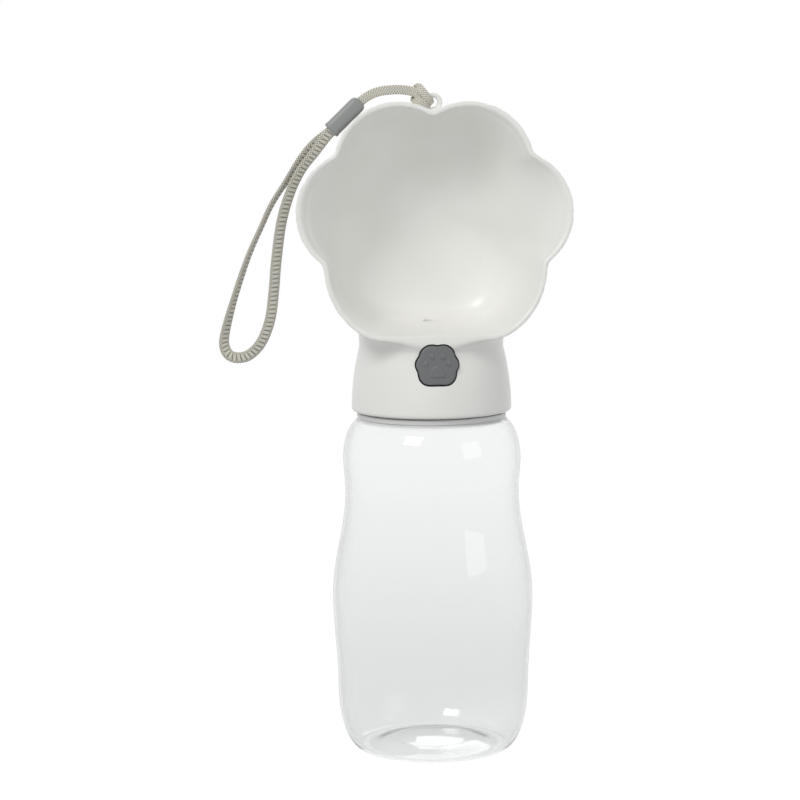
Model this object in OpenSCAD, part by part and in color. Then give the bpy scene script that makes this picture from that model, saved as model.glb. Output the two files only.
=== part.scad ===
// Travel water bottle for dogs: a clear screw-top bottle whose head is a paw-shaped
// drinking bowl, with a push button valve between the two and a wrist strap on top.
// Z points up the bottle, the front of the bowl and the button face -Y, and the origin
// is the middle of the bottle's base.

/* [Bottle] */
// Widest diameter of the bottle, at its belly
belly_d = 75; // [72:0.5:80]
// Height of the belly above the base
belly_z = 58; // [54:1:62]
// Narrowest diameter, at the grip waist
waist_d = 64.8; // [62:0.4:68]
// Height of the waist
waist_z = 98; // [94:1:101]
// Diameter of the shoulder
shoulder_d = 66.2; // [65:0.2:69]
// Height of the shoulder
shoulder_z = 110; // [107:1:112]
// Height of the neck bead's upper face
bead_z = 127.3; // [125:0.1:130]
// How far the neck bead stands out from the neck
bead_out = 3.3; // [2.6:0.1:3.8]
// Thickness of the bottle's wall
bottle_wall = 1; // [0.8:0.1:1.4]
// Outside diameter of the flat ring that the bottle stands on
base_ring_d = 54; // [50:0.5:56]
// Height of the dome pushed up in the base
push_up = 3.6; // [3:0.2:5]

/* [Neck] */
// Outside diameter of the neck, without its thread
neck_d = 48.8; // [48:0.1:49.4]
// Thickness of the neck's wall
neck_wall = 1.8; // [1.6:0.1:2]
// Height of the neck above the bead
neck_h = 8.6; // [8:0.1:8.8]
// Height of the thread on the neck, from wall to crest
thread_h = 1; // [0.8:0.1:1.1]

/* [Collar] */
// How far the collar's lower edge lies outside the neck
collar_out = 5.3; // [5.1:0.1:6.6]
// How much the collar's radius draws in up to its shoulder
collar_draw = 3; // [2.4:0.1:3.2]
// Height of the collar up to its shoulder
collar_h = 24; // [23:0.5:25]
// Thickness of the collar's wall
collar_wall = 1.8; // [1.6:0.1:2]
// Gap between the neck bead and the collar's lower edge
collar_gap = 0.5; // [0.3:0.1:0.8]

/* [Bowl] */
// Depth of the bowl behind the middle of its rim
bowl_depth = 42; // [38:1:44]
// Thickness of the bowl's wall
bowl_wall = 2; // [1.6:0.1:2.4]
// Lean of the rim, back from upright, in degrees
rim_lean = 7; // [4:0.5:9]
// Sideways distance of the two upper lobes from the middle
upper_lobe_x = 13.2; // [12:0.1:14.5]
// Radius of the upper lobes
upper_lobe_r = 23.3; // [22:0.1:24.5]
// Sideways distance of the two side lobes from the middle
side_lobe_x = 28.6; // [27:0.1:30]
// Radius of the side lobes
side_lobe_r = 22.2; // [21:0.1:23]
// Radius of the round well that the lobes fade into inside the bowl
well_r = 38.5; // [34:0.5:39]
// Depth over which the lobes fade
lobe_depth = 9; // [6:0.5:11]
// Diameter of the water outlet in the bowl
outlet_d = 3.6; // [3:0.1:4.4]

/* [Button] */
// Width of the button across its side lobes
button_w = 15.2; // [14:0.1:17]
// Gap between the button and its window
button_gap = 0.55; // [0.3:0.05:0.6]
// Travel of the button
button_travel = 2.5; // [1.5:0.1:3]
// Height of the paw figure on the button
figure_h = 0.35; // [0.2:0.05:0.5]

/* [Valve] */
// Diameter of the valve stem
stem_d = 3; // [2.6:0.1:3.4]
// Outside diameter of the valve housing
housing_d = 10; // [9.6:0.1:10.4]
// Diameter of the return spring, across the middle of its wire
spring_d = 6.4; // [6:0.1:6.8]
// Thickness of the spring's wire
spring_wire = 0.7; // [0.5:0.05:0.8]
// Working turns of the spring
spring_turns = 6; // [4:1:8]
// Thickness of the flat gasket that seals the neck
gasket_t = 1.5; // [1.2:0.1:1.8]

/* [Strap] */
// Width of the flat braid of the wrist loop
braid_w = 4.2; // [4:0.1:5]
// Thickness of one layer of the braid
braid_t = 1.5; // [1.2:0.1:1.8]
// Length of the sleeve that holds the strap together
sleeve_l = 15.5; // [14:0.5:17]
// Width of the sleeve
sleeve_w = 6; // [5.8:0.1:6.4]
// Inside diameter of the strap eye on the bowl
eye_d = 3.6; // [3.4:0.1:4]
// Width of the band of the strap eye
eye_band = 1.8; // [1.6:0.1:2.2]

/* [Hidden] */
$fn = 96;
slack = 0.1;        // running clearance of the stem, seals and plugs
seat_gap = 0.05;    // clearance between faces that seat on each other
eps = 0.01;         // overlap of cuts through a face
ring_cord = 1.2;    // section of the plug's O-ring

// Heights that follow from the stack of pieces
neck_top = bead_z + neck_h;
neck_r = neck_d / 2;
bead_d = neck_d + 2 * bead_out;
collar_d = neck_d + 2 * collar_out;    // at the collar's lower edge
collar_z = bead_z + collar_gap;
shoulder_top = collar_z + collar_h;
deck_z = neck_top + gasket_t + 2 * seat_gap;
deck_t = 1.6;
valve_up = 19.5;                       // middle of the button, above the collar's lower edge
valve_z = collar_z + valve_up;

// Bottle
plug_r = neck_r - neck_wall - 0.3;     // radius of the plug skirt
bead_t = 2;
corner_z = 24;                         // where the base's rounded corner ends
corner_r = belly_d / 2 - 1.7;          // radius there
ring_t = 2.5;                          // width of the flat ring of the base
dome_r = 14;                           // radius of the dome's flat top
bead_over = 0.8;                       // how far the shoulder runs on behind the bead
shoulder_rise = bead_z - bead_t - shoulder_z + bead_over;
shoulder_round = 9;                    // how far the shoulder rounds inwards
side_step = 4;                         // height of one facet of the bottle's side

// Collar
function collar_r(z) = collar_d / 2 - collar_draw * pow((z - collar_z) / collar_h, 2);
crown_h = 20;                          // height of the dome that the collar would end in
foot_edge = 0.4;                       // bevel of the collar's lower edge

// Bowl, drawn in the plane of its rim: u to the right, v up from the rim's lowest point
rim_up = 4.1;                          // the rim's lowest point, above the collar's shoulder
rim_ahead = 1.3;                       // and in front of it
rim_z = shoulder_top + rim_up;
rim_front = collar_r(shoulder_top) + rim_ahead;
rim_v = 44;                            // middle of the rim
side_lobe_v = 46.6;
upper_lobe_v = 63.6;
pad_lobe = [12, 26.6, 28.6];           // the wide lobe over the collar: u, v, radius
lobe_round = 1;                        // how softly the lobes run together
floor_lean = 0.15;                     // how much deeper the floor is near the collar
bowl_lobes = [for (s = [-1, 1]) each [
    [s * upper_lobe_x, upper_lobe_v, upper_lobe_r],
    [s * side_lobe_x, side_lobe_v, side_lobe_r],
    [s * pad_lobe[0], pad_lobe[1], pad_lobe[2]]]];
bowl_steps = 96;                       // facets round the bowl
bowl_rings = 12;
ring_ahead = 0.4;                      // first ring of the hollow, ahead of the rim's plane
front_cut = 6;                         // how far the hollow runs on in front of the rim
boss_over = 6;                         // bosses end this high inside the bowl's wall

// Button
paw_h = button_w * 0.95;
paw_mid = [0, paw_h * 0.5];
button_lobes = [for (s = [-1, 1]) each [
    [s * button_w * 0.131, paw_h * 0.709, paw_h * 0.291],
    [s * button_w * 0.274, paw_h * 0.513, button_w * 0.226],
    [s * button_w * 0.155, paw_h * 0.291, paw_h * 0.297]]];
button_face = collar_r(valve_z) + 0.9;  // how far forward the button's face lies
guide_wall = 1.2;
guide_back = 21;                        // the window's guide ends here, in front of the axis
flange_t = 1.5;
lug_h = 5;
pocket_back = guide_back + 3;           // floor of the spring's pocket in the button
stem_socket = 2.2;                      // depth of the stem's socket in that floor
spring_room = 5;                        // between the pressed button and the valve housing

// Valve, along Y: water enters at the axis, passes the seat and leaves behind it
housing_front = flange_t + button_travel + spring_room - guide_back;
seal_pocket = 2.4;
washer_t = 0.6;
inlet_from = -8;
seat_from = 5;
seat_to = 6.5;
outlet_y = 12.5;
housing_back = 19.5;
inlet_d = 5.6;
chamber_d = 6.8;
seat_d = 4.8;
rear_bore_d = 8;
seal_disc_d = 6.8;
spigot_d = 7;
grommet_t = 1.2;
socket_z = valve_z + housing_d / 2 + washer_t;
socket_h = 3.4;
socket_d = spigot_d + 2 * grommet_t + 2 * seat_gap;
spigot_top = socket_z + socket_h - 0.3;
plug_flange_t = 1.5;
driver_slot = [6, 0.7, 1];              // length, depth and width of the slot in the rear plug
peg_d = 3;
peg_h = 5;
peg_at = [15.5, 9];
boss_wall = 1.5;
skirt_h = 5;                            // plug skirt: length, wall and O-ring groove
skirt_wall = 1.8;
groove_up = 3.6;
groove_w = 1.7;
groove_t = 1;
disc_t = 2.2;                           // valve disc and the retainer behind it
retainer_t = 1.4;

// Strap
eye_back = 16;                          // strap eye behind the rim's lowest point, and above it
eye_up = 85.6;
eye_y = eye_back - rim_front;
eye_z = rim_z + eye_up;
eye_t = 2.6;
eye_r = eye_d / 2 + eye_band;

function mix(a, b, t) = a + (b - a) * t;
function total(list, i = 0) = i < len(list) ? list[i] + total(list, i + 1) : 0;
// Smooth step from 0 to 1 in the shape of a half cosine
function ease(t) = (1 - cos(180 * t)) / 2;

// How far a lobe's far side lies from the point mid, in the direction a
function lobe_reach(a, lobe, mid) =
    let (u = lobe[0] - mid[0], v = lobe[1] - mid[1],
         along = u * cos(a) + v * sin(a), across = v * cos(a) - u * sin(a))
    abs(across) < lobe[2] ? along + sqrt(pow(lobe[2], 2) - pow(across, 2)) : 0;
// Radius of several lobes run together, with their notches rounded by soft
function lobed_r(a, lobes, mid, soft) =
    soft * ln(total([for (l = lobes) exp(lobe_reach(a, l, mid) / soft)]));
// The same, cut off by a flat lower edge at v = 0
function pad_r(a, lobes, mid, soft) = let (r = lobed_r(a, lobes, mid, soft))
    sin(a) > -0.2 ? r : -soft * ln(exp(-r / soft) + exp(mid[1] / sin(a) / soft));

// Bottle: radius of the outer skin at each height, as smooth swells between its named sizes
function swell(z, z0, r0, z1, r1) = mix(r0, r1, ease((z - z0) / (z1 - z0)));
function body_r(z) =
    z < belly_z ? swell(z, corner_z, corner_r, belly_z, belly_d / 2)
    : z < waist_z ? swell(z, belly_z, belly_d / 2, waist_z, waist_d / 2)
    : swell(z, waist_z, waist_d / 2, shoulder_z, shoulder_d / 2);
// One skin of the bottle from the middle of the base up to under the bead, moved in by t
function bottle_skin(t) = let (ring_r = base_ring_d / 2 - ring_t + t / 2, turn = shoulder_d / 2 - shoulder_round) concat(
    [for (i = [0:4]) let (r = dome_r * i / 4) [r, t + push_up - 1.2 * pow(i / 4, 2)]],
    [for (i = [1:6]) [mix(dome_r, ring_r, i / 6), t + (push_up - 1.2) * (1 - ease(i / 6))]],
    [for (a = [0:12:84]) [ring_r + ring_t - t + (corner_r - ring_r - ring_t) * sin(a), corner_z - (corner_z - t) * cos(a)]],
    [for (z = [corner_z:side_step:shoulder_z - 1]) [body_r(z) - t, z]],
    [for (a = [0:12:72]) [turn + (shoulder_round - t) * cos(a), shoulder_z + (shoulder_rise - t) * sin(a)]]);

module bottle() {
    bore_r = neck_r - neck_wall;
    color([0.93, 0.95, 0.95, 0.35])
    rotate_extrude()
    polygon(concat(
        [for (p = bottle_skin(0)) p],
        [[bead_d / 2 - 0.5, bead_z - bead_t], [bead_d / 2, bead_z - bead_t + 0.5], [bead_d / 2, bead_z - 0.5],
         [bead_d / 2 - 0.5, bead_z], [neck_r, bead_z], [neck_r, neck_top - 0.4], [neck_r - 0.4, neck_top],
         [bore_r + 0.3, neck_top], [bore_r, neck_top - 0.3], [bore_r, bead_z - bead_t]],
        let (inner = bottle_skin(bottle_wall), n = len(inner)) [for (i = [n - 2:-1:0]) inner[i]]));
}

// Bowl: one point of its skin. ring 0 is the rim, and the later rings sweep down a well whose
// edge is lobed at the rim and round deeper in. grow is 0 on the inner skin and the wall's
// thickness on the outer one.
function bowl_point(a, ring, grow) =
    let (rim = pad_r(a, bowl_lobes, [0, rim_v], lobe_round) - bowl_wall,
         lower = pow(max(0, -sin(a)), 2), power = 2 / (2 + 8 * lower),
         sweep = 90 * pow(max(0, ring) / bowl_rings, 1.3),
         w = ring < 0 ? ring : (bowl_depth + grow) * pow(sin(sweep), power),
         edge = mix(mix(well_r, rim - 1, lower), rim, exp(-w / lobe_depth)),
         r = edge * pow(cos(sweep), power) + grow,
         v = rim_v + r * sin(a))
    [r * cos(a), -rim_front + v * sin(rim_lean) + w - floor_lean * (v - rim_v) * w / bowl_depth,
     rim_z + v * cos(rim_lean)];
function bowl_pole(grow) = [0, -rim_front + rim_v * sin(rim_lean) + bowl_depth + grow, rim_z + rim_v * cos(rim_lean)];
// A closed solid under one skin of the bowl, with its flat front moved forward by proud
module bowl_solid(grow, proud) {
    n = bowl_steps;
    first = proud > 0 ? -ring_ahead : 0;
    front = [for (i = [0:n - 1]) bowl_point(i * 360 / n, first, grow) - [0, proud, 0]];
    skin = [for (k = [0:bowl_rings - 1], i = [0:n - 1]) bowl_point(i * 360 / n, k > 0 ? k : first, grow)];
    stack = proud > 0 ? concat(front, skin) : skin;
    rows = len(stack) / n;
    mid = [0, -rim_front + rim_v * sin(rim_lean) - proud, rim_z + rim_v * cos(rim_lean)];
    points = concat(stack, [mid, bowl_pole(grow)]);
    wall = [for (k = [0:rows - 2], i = [0:n - 1])
        let (j = (i + 1) % n, p = k * n + i, q = k * n + j) each [[p, q, p + n], [q, q + n, p + n]]];
    fan = [for (i = [0:n - 1]) let (j = (i + 1) % n)
        each [[rows * n, j, i], [rows * n + 1, (rows - 1) * n + i, (rows - 1) * n + j]]];
    polyhedron(points, concat(wall, fan));
}

// The button's outline, grown by gap, with its flat lower edge
module paw_outline(gap) {
    polygon([for (i = [0:71]) let (a = i * 5, r = pad_r(a, button_lobes, paw_mid, 0.3) + gap)
        [r * cos(a), r * sin(a)]]);
}
// A paw-shaped prism that lies along Y between two distances in front of the axis
module paw_prism(front, back, gap) {
    translate([0, -back, valve_z]) rotate([90, 0, 0]) linear_extrude(front - back) paw_outline(gap);
}
// A cylinder along Y, from y0 to y1, at the valve's height
module along_y(d, y0, y1) {
    translate([0, y0, valve_z]) rotate([-90, 0, 0]) cylinder(d = d, h = y1 - y0);
}

// The collar's bowed side under a dome that the bowl cuts off, moved in by t from a foot at z
module collar_core(t, z) {
    crown_r = collar_r(shoulder_top) - t;
    rotate_extrude()
    polygon(concat([[0, z], [collar_r(collar_z) - t - (t > 0 ? 0 : foot_edge), z]],
        t > 0 ? [] : [[collar_r(collar_z), z + foot_edge]],
        [for (i = [t > 0 ? 0 : 1:6]) let (h = collar_z + collar_h * i / 6) [collar_r(h) - t, h]],
        [for (a = [10:10:80]) [crown_r * cos(a), shoulder_top + (crown_h - t) * sin(a)]],
        [[0, shoulder_top + crown_h - t]]));
}

module head_shell() {
    boss_top = rim_z + boss_over;
    color([0.90, 0.90, 0.88])
    difference() {
        union() {
            difference() {
                union() {
                    difference() {
                        collar_core(0, collar_z);
                        collar_core(collar_wall, collar_z - 1);
                    }
                    // guide that the button slides in, open below, where the deck runs
                    difference() {
                        intersection() {
                            paw_prism(collar_d / 2, guide_back, button_gap + guide_wall);
                            collar_core(collar_wall / 2, collar_z);
                        }
                        translate([-collar_d / 2, -collar_d, collar_z])
                            cube([collar_d, collar_d, deck_z + deck_t + slack - collar_z]);
                    }
                }
                paw_prism(collar_r(valve_z) + 3, guide_back - 1, button_gap);
            }
            bowl_solid(bowl_wall, 0);
            // bosses that sit on the inner cap's pegs
            for (x = [-1, 1], y = [-1, 1])
                translate([x * peg_at[0], y * peg_at[1], deck_z + deck_t])
                cylinder(d = peg_d + 2 * boss_wall, h = boss_top - deck_z - deck_t);
            // socket that the grommet and the spigot stand in
            translate([0, outlet_y, socket_z]) cylinder(d = socket_d + 2 * boss_wall, h = boss_top - socket_z);
            // strap eye, on a foot that runs into the back of the rim
            translate([0, eye_y, eye_z]) rotate([90, 0, 0]) cylinder(r = eye_r, h = eye_t, center = true);
            translate([-eye_r, eye_y - eye_t / 2, eye_z - eye_r - 2]) cube([2 * eye_r, eye_t, eye_r + 2]);
        }
        bowl_solid(0, front_cut);
        translate([0, eye_y, eye_z]) rotate([90, 0, 0]) cylinder(d = eye_d, h = eye_t + 2, center = true);
        translate([0, outlet_y, socket_z]) cylinder(d = outlet_d, h = boss_top + 2 - socket_z);
        translate([0, outlet_y, socket_z - 1]) cylinder(d = socket_d, h = socket_h + 1);
        for (x = [-1, 1], y = [-1, 1])
            translate([x * peg_at[0], y * peg_at[1], deck_z])
            cylinder(d = peg_d + slack, h = deck_t + peg_h + 0.5);
    }
}

module inner_cap() {
    ring_in = neck_r + thread_h + 0.3;
    fit = 0.15;
    color([0.82, 0.82, 0.80])
    difference() {
        union() {
            // threaded ring, its outside bowed like the collar that it stands in
            rotate_extrude()
            polygon([[ring_in, collar_z + 0.8], [collar_r(collar_z + 0.8) - collar_wall - fit, collar_z + 0.8],
                for (i = [1:3]) let (z = mix(collar_z + 0.8, deck_z + deck_t, i / 3)) [collar_r(z) - collar_wall - fit, z],
                [0, deck_z + deck_t], [0, deck_z], [ring_in, deck_z]]);
            // plug skirt, which enters the neck and carries the O-ring
            translate([0, 0, deck_z - skirt_h]) cylinder(r = plug_r, h = skirt_h + eps);
            // valve housing on its web
            along_y(housing_d, housing_front, housing_back);
            translate([-housing_d / 2, housing_front, deck_z]) cube([housing_d, housing_back - housing_front, valve_z - deck_z]);
            translate([0, outlet_y, valve_z]) cylinder(d = spigot_d, h = spigot_top - valve_z);
            for (x = [-1, 1], y = [-1, 1])
                translate([x * peg_at[0], y * peg_at[1], deck_z]) cylinder(d = peg_d, h = deck_t + peg_h);
        }
        // hollow of the plug skirt and the groove of its O-ring
        translate([0, 0, deck_z - skirt_h - eps]) cylinder(r = plug_r - skirt_wall, h = skirt_h);
        translate([0, 0, deck_z - groove_up]) difference() {
            cylinder(r = plug_r + 1, h = groove_w);
            cylinder(r = plug_r - groove_t, h = groove_w);
        }
        // the way of the water: inlet, chamber, seat, outlet chamber and spigot
        translate([0, 0, deck_z - 2]) cylinder(d = inlet_d, h = valve_z - deck_z + 2);
        along_y(stem_d + 2 * slack, housing_front - 1, inlet_from + 1);
        along_y(chamber_d, inlet_from, seat_from);
        along_y(seat_d, seat_from - 1, seat_to + 1);
        along_y(rear_bore_d, seat_to, housing_back + 1);
        along_y(chamber_d, housing_front - 1, housing_front + seal_pocket);
        translate([0, outlet_y, valve_z]) cylinder(d = spigot_d - 2.6, h = spigot_top - valve_z + 1);
    }
}

module neck_gasket() {
    color([0.85, 0.85, 0.86])
    translate([0, 0, neck_top + seat_gap]) difference() {
        cylinder(r = neck_r + 0.6, h = gasket_t);
        translate([0, 0, -1]) cylinder(r = neck_r - neck_wall, h = gasket_t + 2);
    }
}

// An O-ring of section d round the Z axis, with outside radius r
module o_ring(r, d) {
    rotate_extrude() translate([r - d / 2, 0]) circle(d = d, $fn = 24);
}
module plug_o_ring() {
    color([0.85, 0.85, 0.86])
    translate([0, 0, deck_z - groove_up + groove_w / 2]) o_ring(neck_r - neck_wall - seat_gap, ring_cord);
}

module outlet_grommet() {
    color([0.85, 0.85, 0.86])
    translate([0, outlet_y, socket_z + seat_gap]) difference() {
        cylinder(d = spigot_d + 2 * grommet_t, h = socket_h - 2 * seat_gap);
        translate([0, 0, -1]) cylinder(d = spigot_d + 2 * seat_gap, h = socket_h + 2);
    }
}

// The figure on the button: four toes and a pad, each a low raised shape. Its places and
// diameters are shares of the button's width.
toes = [[0.12, 0.2], [0.258, 0.045]];
toe_d = 0.11;
pad_ends = [0.085, -0.187];
pad_end_d = 0.15;
pad_top = -0.1;
pad_top_d = 0.17;
module paw_figure() {
    scale([button_w, button_w]) {
        for (x = [-1, 1], toe = toes) translate([x * toe[0], toe[1]]) circle(d = toe_d, $fn = 32);
        hull() {
            for (x = [-1, 1]) translate([x * pad_ends[0], pad_ends[1]]) circle(d = pad_end_d, $fn = 32);
            translate([0, pad_top]) circle(d = pad_top_d, $fn = 32);
        }
    }
}
module button_cap() {
    back = guide_back - seat_gap;
    edge = 0.45;
    color([0.42, 0.43, 0.44])
    difference() {
        union() {
            paw_prism(button_face - edge, back - flange_t + eps, 0);
            paw_prism(button_face, button_face - edge - eps, -edge);
            // two lugs behind the guide keep the button in its window
            translate([-button_w / 2 - button_gap - guide_wall, -back, valve_z - lug_h / 2])
                cube([button_w + 2 * (button_gap + guide_wall), flange_t, lug_h]);
            translate([0, -button_face + eps, valve_z]) rotate([90, 0, 0])
                linear_extrude(figure_h + eps) paw_figure();
        }
        // pocket of the spring, and the blind socket of the stem
        along_y(spring_d + spring_wire + 1.2, -pocket_back, 0);
        along_y(stem_d + 2 * seat_gap, -pocket_back - stem_socket, 0);
    }
}

module valve_stem() {
    color([0.75, 0.76, 0.77])
    union() {
        along_y(stem_d, -pocket_back - stem_socket + seat_gap, seat_to + disc_t + retainer_t + 0.8);
        // collar that the sealing disc is pushed up against
        along_y(stem_d + 1, seat_to - 1.2, seat_to + seat_gap);
    }
}

// A seal round the stem: outside diameter d, between two places along Y
module stem_ring(d, y0, y1, clear) {
    difference() {
        along_y(d, y0, y1);
        along_y(stem_d + 2 * clear, y0 - 1, y1 + 1);
    }
}
module stem_seal() {
    color([0.85, 0.85, 0.86])
    stem_ring(chamber_d - 2 * seat_gap, housing_front + seat_gap, housing_front + seal_pocket, seat_gap);
}
module spring_seat_washer() {
    color([0.7, 0.71, 0.72])
    stem_ring(housing_d - 1, housing_front - washer_t, housing_front, 0.3);
}
module valve_seal_disc() {
    color([0.85, 0.85, 0.86])
    stem_ring(seal_disc_d, seat_to + seat_gap, seat_to + disc_t, 0);
}
module seal_retainer() {
    color([0.75, 0.76, 0.77])
    stem_ring(stem_d + 2.4, seat_to + disc_t, seat_to + disc_t + retainer_t, 0);
}

// The return spring: one unbroken wire, with closed ends and even working turns
spring_from = -pocket_back + spring_wire / 2 + seat_gap;
spring_to = housing_front - washer_t - spring_wire / 2 - seat_gap;
end_pitch = 1.65;                      // of the closing turns, in wire thicknesses
spring_steps = 8 * (spring_turns + 2);
function spring_y(i) = let (turn = i / 8, end = spring_wire * end_pitch,
    work = (spring_to - spring_from - 2 * end) / spring_turns)
    turn < 1 ? spring_from + end * turn
    : turn < spring_turns + 1 ? spring_from + end + work * (turn - 1)
    : spring_to - end * (spring_turns + 2 - turn);
spring_line = [for (i = [0:spring_steps]) [spring_d / 2 * cos(i * 45), spring_y(i), spring_d / 2 * sin(i * 45)]];
// Least distance between parts of a line that lie at least skip points apart, less the thickness
function least_gap(line, skip, thick) = let (n = len(line))
    min([for (i = [0:n - skip - 1], j = [i + skip:n - 1]) norm(line[i] - line[j])]) - thick;
echo(least_gap_of_spring = least_gap(spring_line, 6, spring_wire));
module return_spring() {
    sides = 6;
    points = [for (i = [0:spring_steps], k = [0:sides - 1]) let (a = i * 45, b = k * 360 / sides,
        r = spring_d / 2 + spring_wire / 2 * cos(b))
        [r * cos(a), spring_y(i) + spring_wire / 2 * sin(b), valve_z + r * sin(a)]];
    wall = [for (i = [0:spring_steps - 1], k = [0:sides - 1]) let (l = (k + 1) % sides,
        p = i * sides + k, q = i * sides + l) each [[p, p + sides, q], [q, p + sides, q + sides]]];
    last = spring_steps * sides;
    ends = [for (k = [1:sides - 2]) each [[0, k, k + 1], [last, last + k + 1, last + k]]];
    color([0.7, 0.71, 0.72]) polyhedron(points, concat(wall, ends));
}

module rear_plug() {
    color([0.82, 0.82, 0.80])
    difference() {
        union() {
            along_y(rear_bore_d - slack, housing_back - 3.4, housing_back + eps);
            along_y(housing_d, housing_back, housing_back + plug_flange_t);
        }
        difference() {
            along_y(rear_bore_d + 1, housing_back - 2.4, housing_back - 1.1);
            along_y(rear_bore_d - 1.9, housing_back - 2.5, housing_back - 1);
        }
        translate([-driver_slot[0] / 2, housing_back + plug_flange_t - driver_slot[1], valve_z - driver_slot[2] / 2])
            cube([driver_slot[0], driver_slot[1] + 1, driver_slot[2]]);
    }
}
module rear_plug_o_ring() {
    color([0.85, 0.85, 0.86])
    translate([0, housing_back - 1.75, valve_z]) rotate([90, 0, 0]) o_ring(rear_bore_d / 2 - 0.02, 0.9);
}

// Strap. Its route is seen from the front and lies beside the bowl's rim.
strap_y = -14;
sleeve_tip = [-25.9, strap_y, 242.3];  // where the tether enters
sleeve_lean = 44;                      // how steeply the sleeve lies, in degrees
tether_route = [[-27.6, -14, 240.7], [-25.9, -14, 242.2], [-23.4, -13.9, 243.9], [-20.2, -13.7, 245.3],
    [-16.1, -13.5, 246], [-11.7, -13.1, 246.1], [-8, -12.6, 245.6], [-5.7, -12.2, 244.6], [-4.4, -12, 243.8]];
loop_route = [[-35.4, -13, 232.9], [-38, -13, 230.5], [-42.6, -13, 227], [-46.7, -13, 222.6],
    [-51.1, -13, 216.4], [-58.2, -13.2, 206], [-62.5, -13.4, 197.2], [-67.5, -13.6, 186.2],
    [-72.4, -14, 172.3], [-75.8, -14.3, 160.6], [-76.6, -14.5, 154.8], [-75, -14.7, 151], [-71.3, -14.8, 149.8],
    [-67, -15, 151.2], [-62.9, -15.1, 155.8], [-59.8, -15.2, 163.8], [-58.3, -15.4, 174.3],
    [-57.3, -15.6, 184.9], [-55.3, -15.8, 198.6], [-52.2, -15.8, 209], [-48.2, -15.6, 217.1],
    [-43, -15.2, 223.9], [-38.85, -15, 229.35], [-36.1, -15, 232.3]];
tether_half = [1.8, 1.2];               // half the width and thickness of the tether
echo(least_gap_of_wrist_loop = least_gap(loop_route, 12, braid_t));

// A tube of half width a and half thickness b along a route. Its flat face looks along -Y.
function unit(v) = v / norm(v);
function heading(route, i) = let (n = len(route)) unit(route[min(i + 1, n - 1)] - route[max(i - 1, 0)]);
module flat_tube(route, a, b) {
    sides = 8;
    n = len(route);
    points = [for (i = [0:n - 1]) let (t = heading(route, i), s = unit(cross(t, [0, 1, 0])), f = cross(s, t))
        for (k = [0:sides - 1]) let (c = k * 360 / sides + 22.5)
            route[i] + s * a * cos(c) / cos(22.5) + f * b * sin(c) / cos(22.5)];
    wall = [for (i = [0:n - 2], k = [0:sides - 1]) let (l = (k + 1) % sides,
        p = i * sides + k, q = i * sides + l) each [[p, q, p + sides], [q, q + sides, p + sides]]];
    last = (n - 1) * sides;
    ends = [for (k = [1:sides - 2]) each [[0, k + 1, k], [last, last + k, last + k + 1]]];
    polyhedron(points, concat(wall, ends));
}

module strap_tether() {
    color([0.62, 0.61, 0.58]) flat_tube(tether_route, tether_half[0], tether_half[1]);
}
module wrist_loop() {
    color([0.66, 0.65, 0.61]) flat_tube(loop_route, braid_w / 2, braid_t / 2);
}

// The hitch: a loop of the tether round the band of the strap eye
module strap_hitch() {
    steps = 16;
    sides = 8;
    cord = 0.65;
    out = unit([-2, 0, 1]);
    mid = [0, eye_y, eye_z] + out * (eye_d / 2 + eye_band / 2);
    half = [eye_band / 2 + cord + 0.12, eye_t / 2 + cord + 0.12];
    points = [for (i = [0:steps - 1]) let (a = i * 360 / steps,
        place = mid + out * half[0] * cos(a) + [0, half[1] * sin(a), 0],
        side = unit(out * cos(a) + [0, sin(a), 0]), across = unit([1, 0, 2]))
        for (k = [0:sides - 1]) let (c = k * 360 / sides)
            place + side * cord * cos(c) + across * 0.85 * sin(c)];
    faces = [for (i = [0:steps - 1], k = [0:sides - 1]) let (j = (i + 1) % steps, l = (k + 1) % sides,
        p = i * sides + k, q = i * sides + l, r = j * sides + k, s = j * sides + l) each [[p, r, q], [q, r, s]]];
    color([0.62, 0.61, 0.58]) polyhedron(points, faces);
}

// Half of the sleeve: a bullet-shaped shell with a slot for the braid and a mouth for the tether
slot_half = [braid_t + 0.4, braid_w / 2 + 0.2];
mouth_half = [tether_half[1] + 0.2, tether_half[0] + 0.2];
module sleeve_half(front) {
    nose = sleeve_w / 2;
    color([0.52, 0.53, 0.53])
    translate(sleeve_tip) rotate([0, -sleeve_lean, 0])
    difference() {
        intersection() {
            union() {
                translate([-sleeve_l, 0, 0]) rotate([0, 90, 0]) cylinder(r = nose, h = sleeve_l - nose);
                translate([-nose, 0, 0]) sphere(r = nose);
            }
            translate([-sleeve_l - 1, front ? -nose - 1 : seat_gap / 2, -nose - 1])
                cube([sleeve_l + 2, nose + 1 - seat_gap / 2, 2 * nose + 2]);
        }
        translate([-sleeve_l - 1, -slot_half[0], -slot_half[1]])
            cube([sleeve_l + 1 - nose, 2 * slot_half[0], 2 * slot_half[1]]);
        translate([-nose - 1, -mouth_half[0], -mouth_half[1]])
            cube([nose + 2, 2 * mouth_half[0], 2 * mouth_half[1]]);
    }
}
module sleeve_front_half() { sleeve_half(true); }
module sleeve_back_half() { sleeve_half(false); }

bottle();
head_shell();
inner_cap();
neck_gasket();
plug_o_ring();
outlet_grommet();
button_cap();
valve_stem();
stem_seal();
spring_seat_washer();
return_spring();
valve_seal_disc();
seal_retainer();
rear_plug();
rear_plug_o_ring();
strap_hitch();
strap_tether();
sleeve_front_half();
sleeve_back_half();
wrist_loop();
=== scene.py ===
# %% [markdown]
# # A dog's travel water bottle
# A clear screw-top bottle whose head is a drinking bowl in the shape of a paw. A push button in
# the collar opens a small valve, water runs from the tilted bottle into the bowl, and a braided
# strap hangs from an eye at the top. The CAD model gives every size and every moving part. This
# script gives the looks: smooth mouldings with real edges, clear plastic, braid and soft light.

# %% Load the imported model
from math import cos, pi, radians, sin

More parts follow.
